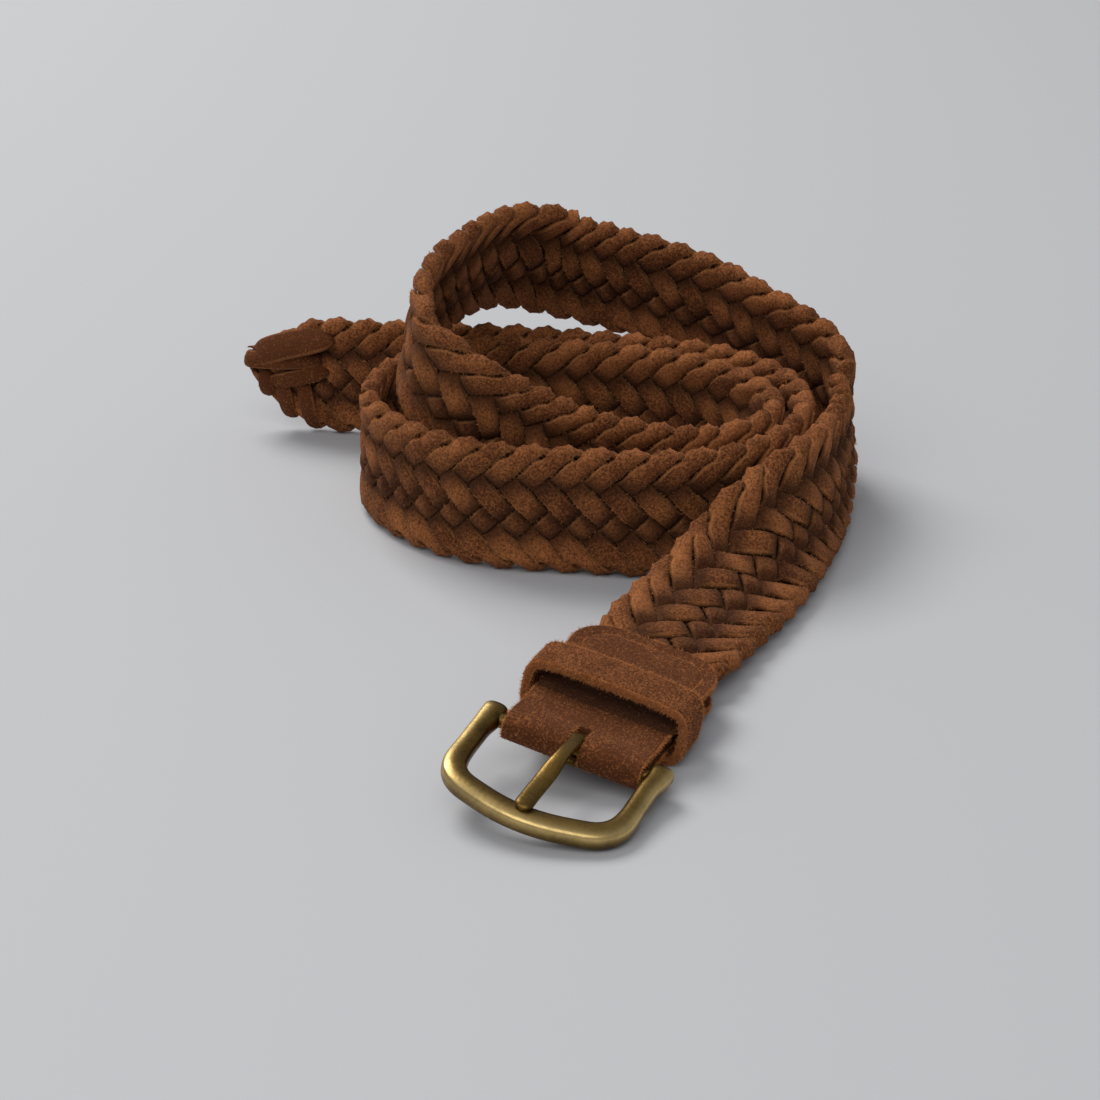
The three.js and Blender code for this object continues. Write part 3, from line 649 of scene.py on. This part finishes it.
for y, z in path:
    widened = min(max((y - KEEPER_START) / (corner_start - KEEPER_START), 0), 1)
    half = TAB_HALF + (END_HALF - TAB_HALF) * widened
    inset = y - corner_start
    if inset > 0:
        half = END_HALF - END_CORNER + math.sqrt(max(END_CORNER ** 2 - inset * inset, 0))
    for c in columns:
        x = c * half / TAB_HALF if y > KEEPER_START else c
        corner_x = abs(x) - (END_HALF - END_CORNER)
        rim_gap = min(half - abs(x), TAB_REACH - y)
        if inset > 0 and corner_x > 0:
            rim_gap = END_CORNER - math.hypot(corner_x, inset)
        height = z
        if z > 0:
            dip = smooth((y - 1) / 7) * (1 - smooth((y - 19) / 9))
            height -= DIP * dip * (1 - 0.3 * (x / TAB_HALF) ** 2)
            held_end = smooth((y - 27) / 3)
            height -= held_end * GROOVE_DEPTH * math.exp(-((rim_gap - GROOVE_INSET) / GROOVE_HALF) ** 2)
            height += held_end * PRESSED_RIM * math.exp(-(rim_gap / 1.6) ** 2)
            height += held_end * CUSHION * smooth(rim_gap / 5)
        tab_points.append(hub + side * x + along * y + face * height)
tab_faces = []
for i in range(len(path) - 1):
    for j in range(len(columns) - 1):
        y_mid = (path[i][0] + path[i + 1][0]) / 2
        x_mid = (columns[j] + columns[j + 1]) / 2
        if abs(x_mid - SLOT_MID) < SLOT_HALF and y_mid < SLOT_REACH:
            continue
        a = i * len(columns) + j
        tab_faces.append((a, a + 1, a + len(columns) + 1, a + len(columns)))


def leather_wall(piece, thickness, rounding):
    """Give a sheet its thickness, half to each side, and take the sharpness off its edges."""
    select_only(piece)
    layer = piece.modifiers.new("leather", "SOLIDIFY")
    layer.thickness = thickness * MM
    layer.offset = 0
    bpy.ops.object.modifier_apply(modifier="leather")
    round_off = piece.modifiers.new("soft", "BEVEL")
    round_off.width = rounding * MM
    round_off.segments = 3
    round_off.limit_method = "ANGLE"
    bpy.ops.object.modifier_apply(modifier="soft")


def in_keeper(spots):
    """True where a point lies inside the keeper's loop, on the tab or on the loop itself."""
    y = spots @ along
    low = spots @ face < FOLD_OUTER + SHADE_HEIGHT
    return low & (y > KEEPER_START - 1) & (y < KEEPER_START + KEEPER_WIDTH - 0.5)


def stain_leather(piece, cut, dark, tone_and_painted_shade):
    """Store the pale cut edges, partly a painted highlight, the painted shade, and the tone, which can
    carry painted shade.
    """
    for key, values in (("rim", cut), ("shade", np.full(len(cut), tone_and_painted_shade)), ("crease", dark)):
        layer = piece.data.attributes.new(key, "FLOAT", "POINT")
        layer.data.foreach_set("value", values.astype(np.float32))


tab = mesh_object("suede_tab", tab_points, tab_faces, suede)
leather_wall(tab, TAB_LEATHER, 0.4)
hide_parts("tab")
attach(tab, "belt")
face_outwards(tab)
# the knife left faces that look sideways, and along the strap at the far end
spots = read_points(tab.data, "co") / MM - hub
normals = read_points(tab.data, "normal")
cut = smooth((np.abs(normals @ side) - 0.4) / 0.4)
far = spots @ along > corner_start - 2
cut = np.where(far, np.maximum(cut, smooth((np.abs(normals @ along) - 0.3) / 0.4)), cut)
# painted shade: the tab is dark inside the keeper's loop and in a band just behind it, and its whole
# tone is lowered as painted shade
behind = spots @ along - KEEPER_START - KEEPER_WIDTH
dark = np.maximum(in_keeper(spots) * 0.8, 0.55 * np.exp(-(behind / 1.1) ** 2) * (behind > -0.5))
stain_leather(tab, cut, dark, -0.45)
suede_nap("tab_fur", tab, 7000, 9000, 1.2)

# The keeper: a short loop of thick suede round the tab. Its top arches up, and its cut edges are
# raw and furry.
KEEPER_ROOM = 2.6
KEEPER_ARCH = 1.3
top = FOLD_OUTER + KEEPER_ROOM + KEEPER_LEATHER / 2
bottom = -(FOLD_OUTER + SEAT_CLEARANCE + KEEPER_LEATHER / 2)
wide = KEEPER_HALF - KEEPER_LEATHER / 2
corner = KEEPER_CORNER - KEEPER_LEATHER / 2
loop = []
for cx, cz, start in ((wide - corner, top - corner, 0), (corner - wide, top - corner, 90),
                      (corner - wide, bottom + corner, 180), (wide - corner, bottom + corner, 270)):
    for a in np.radians(np.linspace(start, start + 90, 7)):
        loop.append((cx + corner * math.cos(a), cz + corner * math.sin(a)))
dense = []
for i in range(len(loop)):
    a, b = np.array(loop[i]), np.array(loop[(i + 1) % len(loop)])
    steps = max(1, int(np.linalg.norm(b - a) / 0.8))
    for k in range(steps):
        dense.append(a + (b - a) * k / steps)
keeper_points = []
bands = np.linspace(0, 1, 15)
for x, z in dense:
    arch = KEEPER_ARCH * max(0, 1 - (x / wide) ** 2) ** 0.8 if z > 0 else 0
    x = x * (1 - 0.035 * smooth((abs(x) - wide + 3) / 3))
    for b in bands:
        y = KEEPER_START + KEEPER_WIDTH * b
        keeper_points.append(hub + side * x + along * y + face * (z + arch))
keeper_faces = []
for i in range(len(dense)):
    for j in range(len(bands) - 1):
        a = i * len(bands) + j
        b = ((i + 1) % len(dense)) * len(bands) + j
        keeper_faces.append((a, b, b + 1, a + 1))
keeper = mesh_object("keeper_loop", keeper_points, keeper_faces, suede)
leather_wall(keeper, KEEPER_LEATHER, 0.5)
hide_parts("keeper")
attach(keeper, "belt")
face_outwards(keeper)
# its cut faces look along the strap
spots = read_points(keeper.data, "co") / MM - hub
normals = read_points(keeper.data, "normal")
cut = smooth((np.abs(normals @ along) - 0.4) / 0.4)
# painted shade: the inside of the loop is a little darker
stain_leather(keeper, cut, in_keeper(spots) * 0.25, -0.1)
suede_nap("keeper_fur", keeper, 9000, 16000, 1.3)

# Antique brass, of the buckle and its prong. It is worn bright on the frame's crest, with a painted
# highlight there and along the prong's top ("wear"), brown and darker in patches,
# with fine pits.
brass = bpy.data.materials.new("antique brass")
brass.use_nodes = True
tree = brass.node_tree
shader = tree.nodes["Principled BSDF"]
shader.inputs["Metallic"].default_value = 0.92
specks = noise(tree, 1150, 3)
mottle = scaled(tree, specks, 0.3, noise(tree, 95, 6, 0.62))
metal = dyed(tree, mottle, 0.46, (0.06, 0.034, 0.008, 1), 0.8, (0.2, 0.118, 0.027, 1))
# pale brass where the points say so: worn crest and painted highlight
metal = tinted(tree, metal, (0.82, 0.60, 0.25, 1), scaled(tree, stored(tree, "wear"), mottle))
tree.links.new(metal, shader.inputs["Base Color"])
tree.links.new(ranged(tree, mottle, 0.4, 0.95, 0.42, 0.25), shader.inputs["Roughness"])
tree.links.new(raised(tree, specks, 0.3, 0.00012), shader.inputs["Normal"])

# The buckle: a cast brass rod bent to a wide U with its two ends domed, and a bar across it. The
# front is bowed and broader than the arms, with a worn crest between its top and its front that
# also carries a painted highlight.
FRAME_REACH = 30.5
FRAME_SIDE_PLAY = 0.8
ARM_ROOM = 1.5
ARM_WIDTH = 5
ARM_HEIGHT = 4.6
ARM_END = 4.5
ARM_DOME = 2.2
ARM_FLARE = 0.55
FRAME_CORNER = 7.5
FRONT_WIDTH = 5.6
FRONT_HEIGHT = 5.2
FRONT_BOW = 2.5
FRONT_SPREAD = 0.7
FRONT_CLEARANCE = 0.2
CREST = math.radians(38)
SIDES = 40
frame_half = TAB_HALF + ARM_ROOM + ARM_WIDTH / 2
frame_hub = hub - side * FRAME_SIDE_PLAY
front_mid = FRAME_REACH - FRONT_WIDTH / 2
# the frame tips forward until its lower front corner rests on the floor
corner_inset = FRAME_CORNER * (1 - math.sqrt(0.5))
corner_side = frame_half - FRAME_SIDE_PLAY - corner_inset
corner_reach = front_mid - FRONT_BOW - corner_inset
drop = end_height - corner_side * math.sin(tilt) - FRONT_HEIGHT / 2 - FRONT_CLEARANCE
pitch = math.asin(drop / (corner_reach * math.cos(tilt)))
frame_y = along * math.cos(pitch) + face * math.sin(pitch)
frame_z = face * math.cos(pitch) - along * math.sin(pitch)
straight_half = frame_half - FRAME_CORNER
corner_y = -(front_mid - FRONT_BOW - FRAME_CORNER)
outline = [(frame_half, y) for y in np.linspace(ARM_END, corner_y, 22)]
for a in np.linspace(0, math.pi / 2, 14)[1:-1]:
    outline.append((straight_half + FRAME_CORNER * math.cos(a), corner_y - FRAME_CORNER * math.sin(a)))
for x in np.linspace(straight_half, 0, 18):
    outline.append((x, -(front_mid - FRONT_BOW * (x / straight_half) ** 2)))
outline += [(-x, y) for x, y in reversed(outline[:-1])]
outline = evened(np.array(outline), 14)
heading = np.gradient(outline, axis=0)
buckle_points = []
buckle_wear = []
for (x, y), (dx, dy) in zip(outline, heading):
    turn = math.atan2(-dx, -dy)
    size = math.sqrt(max(0.02, 1 - max(0, 1 - (ARM_END - y) / ARM_DOME) ** 2))
    front = float(smooth((-y - 12) / 12))
    flare = float(smooth((y + 6) / 7)) * ARM_FLARE
    x += flare * (0.8 if x < 0 else 1.0)
    half_w = (ARM_WIDTH + (FRONT_WIDTH + FRONT_SPREAD - ARM_WIDTH) * front + flare * 2) / 2 * size
    half_h = (ARM_HEIGHT + (FRONT_HEIGHT - ARM_HEIGHT) * front) / 2 * size
    for k in range(SIDES):
        a = 2 * math.pi * k / SIDES
        ridge = 1 + 0.07 * math.exp(-((a - CREST) / 0.3) ** 2)
        out = ridge * half_w * np.sign(math.cos(a)) * abs(math.cos(a)) ** 0.8
        up = ridge * half_h * np.sign(math.sin(a)) * abs(math.sin(a)) ** 0.8
        buckle_points.append(frame_hub + side * (x + out * math.cos(turn))
                             + frame_y * (y - out * math.sin(turn)) + frame_z * up)
        # the crest is painted pale: worn brass and a painted highlight
        buckle_wear.append(min(1, 0.95 * max(0, math.cos(a - CREST)) ** 6))
buckle = mesh_object("buckle_rod", buckle_points, tube_faces(0, len(outline), SIDES), brass,
                     wear=buckle_wear)
BAR_SIDES = 20
bar_points = []
for x in (-frame_half, frame_half):
    for k in range(BAR_SIDES):
        a = 2 * math.pi * k / BAR_SIDES
        bar_points.append(frame_hub + side * x + along * BAR_RADIUS * math.cos(a)
                          + face * BAR_RADIUS * math.sin(a))
bar_faces = []
for k in range(BAR_SIDES):
    n = (k + 1) % BAR_SIDES
    bar_faces.append((k, n, BAR_SIDES + n, BAR_SIDES + k))
bar = mesh_object("buckle_bar", bar_points, bar_faces, brass)
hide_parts("buckle_frame")
for piece in (buckle, bar):
    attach(piece, "frame")
    face_outwards(piece)

# The prong: a flat brass strip curled round the bar, stepped down along its length, its rounded
# tip resting in a small notch on the front of the buckle.
PRONG_WIDTH = 4.2
PRONG_THICKNESS = 1.9
NOTCH_DEPTH = 0.8
TIP_DOME = 2.0
PRONG_ASIDE = 1.0
PRONG_SLANT = 1.2
PRONG_SIDES = 16
eye = BAR_RADIUS + SEAT_CLEARANCE + PRONG_THICKNESS / 2
tip_z = FRONT_HEIGHT / 2 - NOTCH_DEPTH + SEAT_CLEARANCE + PRONG_THICKNESS / 2
curl = [(eye * math.sin(a), eye * math.cos(a)) for a in np.radians(np.linspace(250, 0, 16))]
# distance towards the front, and height over the bar's middle
shank = [(-3.0, eye + 0.45), (-6.1, tip_z + 1.3), (-9.5, tip_z + 1.35), (-12.2, tip_z + 1.0),
         (-14.8, tip_z + 0.35), (-17.5, tip_z + 0.02), (-22, tip_z), (-26, tip_z),
         (-front_mid - 0.4, tip_z)]
spine = np.array(curl + shank)
fine = np.linspace(0, len(spine) - 1, 110)
spine = np.stack([np.interp(fine, range(len(spine)), spine[:, k]) for k in (0, 1)], 1)
spine = evened(spine, 6)
prong_points = []
prong_wear = []
for i, (y, z) in enumerate(spine):
    a, b = spine[max(i - 1, 0)], spine[min(i + 1, len(spine) - 1)]
    direction = (b - a) / np.linalg.norm(b - a)
    normal = np.array([direction[1], -direction[0]])
    to_tip = np.linalg.norm(spine[-1] - spine[i])
    taper = math.sqrt(max(0.05, 1 - max(0, 1 - to_tip / TIP_DOME) ** 2))
    aside = PRONG_ASIDE - PRONG_SLANT * smooth((-y - 2) / 24)
    waist = 0.78 + 0.27 * smooth((-y - 7) / 8)
    for k in range(PRONG_SIDES):
        c = 2 * math.pi * (k + 0.5) / PRONG_SIDES
        px = PRONG_WIDTH / 2 * taper * waist * np.sign(math.cos(c)) * abs(math.cos(c)) ** 0.55
        pz = PRONG_THICKNESS / 2 * taper * np.sign(math.sin(c)) * abs(math.sin(c)) ** 0.7
        yz = spine[i] - normal * pz
        prong_points.append(frame_hub + side * (px + aside) + frame_y * yz[0] + frame_z * yz[1])
        # the prong's upper face is painted paler: a painted highlight
        prong_wear.append(max(0, math.sin(c)) ** 2 * 0.8)
prong = mesh_object("buckle_prong", prong_points, tube_faces(0, len(spine), PRONG_SIDES), brass,
                    wear=prong_wear)
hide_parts("prong")
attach(prong, "prong")
face_outwards(prong)

# Floor and light: a pale grey sweep, a broad soft light from the upper left and behind, and a
# weak fill from the front right, as in a product studio.
paper = bpy.data.materials.new("pale floor")
paper.use_nodes = True
shader = paper.node_tree.nodes["Principled BSDF"]
shader.inputs["Base Color"].default_value = (0.515, 0.52, 0.535, 1)
shader.inputs["Roughness"].default_value = 0.75
bpy.ops.mesh.primitive_plane_add(size=6, location=(0, 0, 0))
floor = bpy.context.object
floor.name = "floor"
floor.data.materials.append(paper)
world = bpy.data.worlds.new("studio")
bpy.context.scene.world = world
world.use_nodes = True
world.node_tree.nodes["Background"].inputs["Color"].default_value = (0.93, 0.96, 1.0, 1)
world.node_tree.nodes["Background"].inputs["Strength"].default_value = 0.33
bpy.ops.object.light_add(type="AREA", location=(-1.2, 0.75, 1.8))
key = bpy.context.object
key.name = "key light"
key.data.size = 1.2
key.data.energy = 36
key.data.color = (1.0, 0.985, 0.965)
key.rotation_euler = (-key.location).to_track_quat("-Z", "Y").to_euler()
bpy.ops.object.light_add(type="AREA", location=(0.1, -0.9, 1.1))
fill = bpy.context.object
fill.name = "fill light"
fill.data.size = 1.2
fill.data.energy = 7
fill.rotation_euler = (math.radians(40), 0, 0)

# Camera: an 85 mm view from 303 mm above the floor, in front of the buckle and to its right. It
# is turned 22 degrees to the left and looks 25 degrees down at the coil.
CAMERA_PLACE = (170.8, -518.8, 303)
bpy.ops.object.camera_add()
camera = bpy.context.object
camera.data.lens = 85
camera.data.sensor_width = 36
camera.data.clip_end = 20
camera.location = (np.array(CAMERA_PLACE) + shift) * MM
camera.rotation_euler = (math.radians(90 - 25), 0, math.radians(22))
bpy.context.scene.camera = camera
bpy.context.scene.view_settings.view_transform = "Standard"
